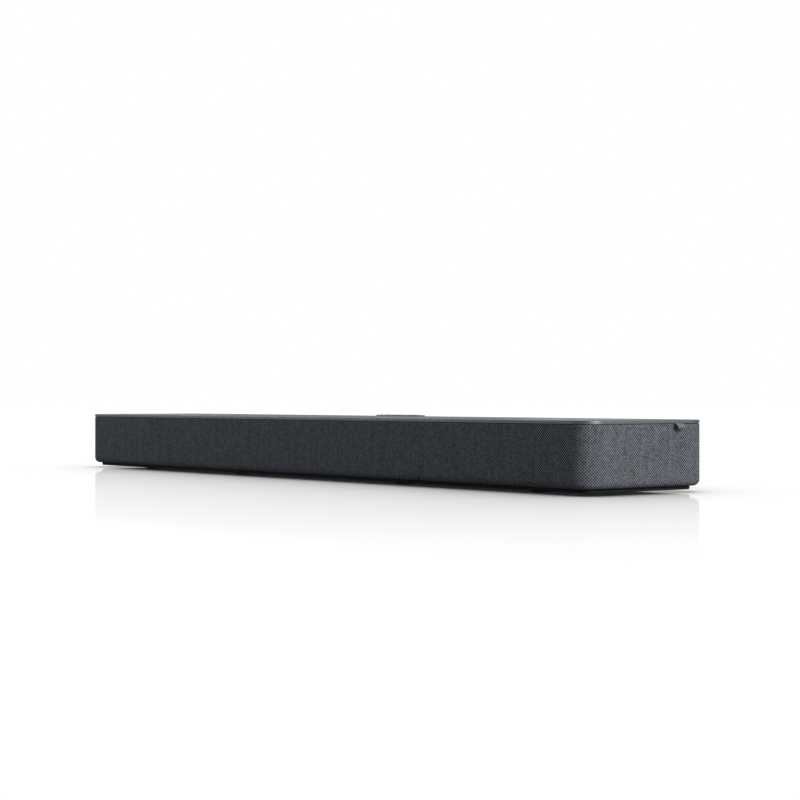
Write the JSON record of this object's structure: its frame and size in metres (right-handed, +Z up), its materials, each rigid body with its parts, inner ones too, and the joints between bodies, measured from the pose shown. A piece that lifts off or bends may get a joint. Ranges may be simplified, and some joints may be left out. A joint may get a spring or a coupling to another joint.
{
  "type": "soundbar",
  "caption": "Long low speaker bar wrapped in cloth under a flat metal deck, with up-firing grilles, rear keys and a rear socket bay.",
  "frame": {"origin": "on the standing surface, under the middle of the body", "axes": "+X along the length to the listener's right, -Y the front, +Z up"},
  "size_m": [1.0666, 0.18, 0.0798],
  "materials": {
    "acoustic_cloth": "woven polyester cloth, charcoal",
    "black_plastic": "fine moulded grain",
    "plinth_plastic": "fine moulded grain",
    "key_plastic": "satin",
    "anodised_aluminium": "bead blasted, anodised dark grey",
    "black_steel": "powder coated",
    "tag_aluminium": "satin anodised",
    "foot_rubber": "matte",
    "gasket_foam": "closed-cell foam",
    "smoked_lens": "polished, smoked",
    "insert_brass": "machined",
    "screw_steel": "black zinc",
    "socket_metal": "tinned",
    "socket_plastic": "moulded",
    "circuit_board": "solder mask",
    "ferrite": "ferrite core, taped winding",
    "heatsink_aluminium": "extruded",
    "basket_steel": "stamped, black",
    "cone_paper": "coated pulp",
    "surround_rubber": "satin",
    "tweeter_plastic": "satin"
  },
  "bodies": {
    "housing": {"grille_fabric": "acoustic_cloth", "grille_frame": "black_plastic", "rear_panel": "black_plastic", "top_deck": "anodised_aluminium", "top_grille_left": "black_steel", "top_grille_right": "black_steel", "key_bezel": "black_plastic", "key_board": "circuit_board", "key_switches": "black_plastic", "cabinet": "black_plastic", "plinth": "plinth_plastic", "feet": "foot_rubber", "status_window": "smoked_lens", "status_board": "circuit_board", "side_tag": "tag_aluminium", "wall_inserts": "insert_brass", "deck_gasket": "gasket_foam", "driver_screws": "screw_steel", "connector_tray": "black_plastic", "hdmi_sockets": "socket_metal", "usb_socket": "socket_metal", "lan_socket": "socket_metal", "optical_socket": "socket_plastic", "mains_inlet": "socket_plastic", "power_board": "circuit_board", "main_board": "circuit_board", "amplifier_board": "circuit_board", "board_screws": "screw_steel", "processor_shield": "socket_metal", "radio_module": "socket_metal", "power_transformer": "ferrite", "power_capacitors": "black_plastic", "amplifier_heatsink": "heatsink_aluminium", "plinth_screws": "screw_steel", "rear_screws": "screw_steel", "woofer_1_frame": "basket_steel", "woofer_1_surround": "surround_rubber", "woofer_2_frame": "basket_steel", "woofer_2_surround": "surround_rubber", "woofer_3_frame": "basket_steel", "woofer_3_surround": "surround_rubber", "woofer_4_frame": "basket_steel", "woofer_4_surround": "surround_rubber", "upfire_left_frame": "basket_steel", "upfire_left_surround": "surround_rubber", "upfire_right_frame": "basket_steel", "upfire_right_surround": "surround_rubber", "upfire_chambers": "black_plastic", "tweeters": "tweeter_plastic"},
    "power_key": {"key_power": "key_plastic"},
    "source_key": {"key_source": "key_plastic"},
    "volume_down_key": {"key_volume_down": "key_plastic"},
    "volume_up_key": {"key_volume_up": "key_plastic"},
    "play_key": {"key_play": "key_plastic"},
    "woofer_1_motion": {"woofer_1_cone": "cone_paper"},
    "woofer_2_motion": {"woofer_2_cone": "cone_paper"},
    "woofer_3_motion": {"woofer_3_cone": "cone_paper"},
    "woofer_4_motion": {"woofer_4_cone": "cone_paper"},
    "upfire_left_motion": {"upfire_left_cone": "cone_paper"},
    "upfire_right_motion": {"upfire_right_cone": "cone_paper"}
  },
  "joints": [
    {"name": "power_press", "type": "slide", "parent": "housing", "child": "power_key", "axis": [0, 0, -1], "range_m": [0, 0.0006], "stiffness_N_per_m": 800, "springref_m": -0.0006},
    {"name": "source_press", "type": "slide", "parent": "housing", "child": "source_key", "axis": [0, 0, -1], "range_m": [0, 0.0006], "stiffness_N_per_m": 800, "springref_m": -0.0006},
    {"name": "volume_down_press", "type": "slide", "parent": "housing", "child": "volume_down_key", "axis": [0, 0, -1], "range_m": [0, 0.0006], "stiffness_N_per_m": 800, "springref_m": -0.0006},
    {"name": "volume_up_press", "type": "slide", "parent": "housing", "child": "volume_up_key", "axis": [0, 0, -1], "range_m": [0, 0.0006], "stiffness_N_per_m": 800, "springref_m": -0.0006},
    {"name": "play_press", "type": "slide", "parent": "housing", "child": "play_key", "axis": [0, 0, -1], "range_m": [0, 0.0006], "stiffness_N_per_m": 800, "springref_m": -0.0006},
    {"name": "woofer_1_stroke", "type": "slide", "parent": "housing", "child": "woofer_1_motion", "axis": [0, -1, 0], "range_m": [-0.003, 0.003], "stiffness_N_per_m": 1200, "deforming": ["woofer_1_surround"]},
    {"name": "woofer_2_stroke", "type": "slide", "parent": "housing", "child": "woofer_2_motion", "axis": [0, -1, 0], "range_m": [-0.003, 0.003], "stiffness_N_per_m": 1200, "deforming": ["woofer_2_surround"]},
    {"name": "woofer_3_stroke", "type": "slide", "parent": "housing", "child": "woofer_3_motion", "axis": [0, -1, 0], "range_m": [-0.003, 0.003], "stiffness_N_per_m": 1200, "deforming": ["woofer_3_surround"]},
    {"name": "woofer_4_stroke", "type": "slide", "parent": "housing", "child": "woofer_4_motion", "axis": [0, -1, 0], "range_m": [-0.003, 0.003], "stiffness_N_per_m": 1200, "deforming": ["woofer_4_surround"]},
    {"name": "upfire_left_stroke", "type": "slide", "parent": "housing", "child": "upfire_left_motion", "axis": [0, -0.2588, 0.9659], "range_m": [-0.003, 0.003], "stiffness_N_per_m": 1200, "deforming": ["upfire_left_surround"]},
    {"name": "upfire_right_stroke", "type": "slide", "parent": "housing", "child": "upfire_right_motion", "axis": [0, -0.2588, 0.9659], "range_m": [-0.003, 0.003], "stiffness_N_per_m": 1200, "deforming": ["upfire_right_surround"]}
  ]
}
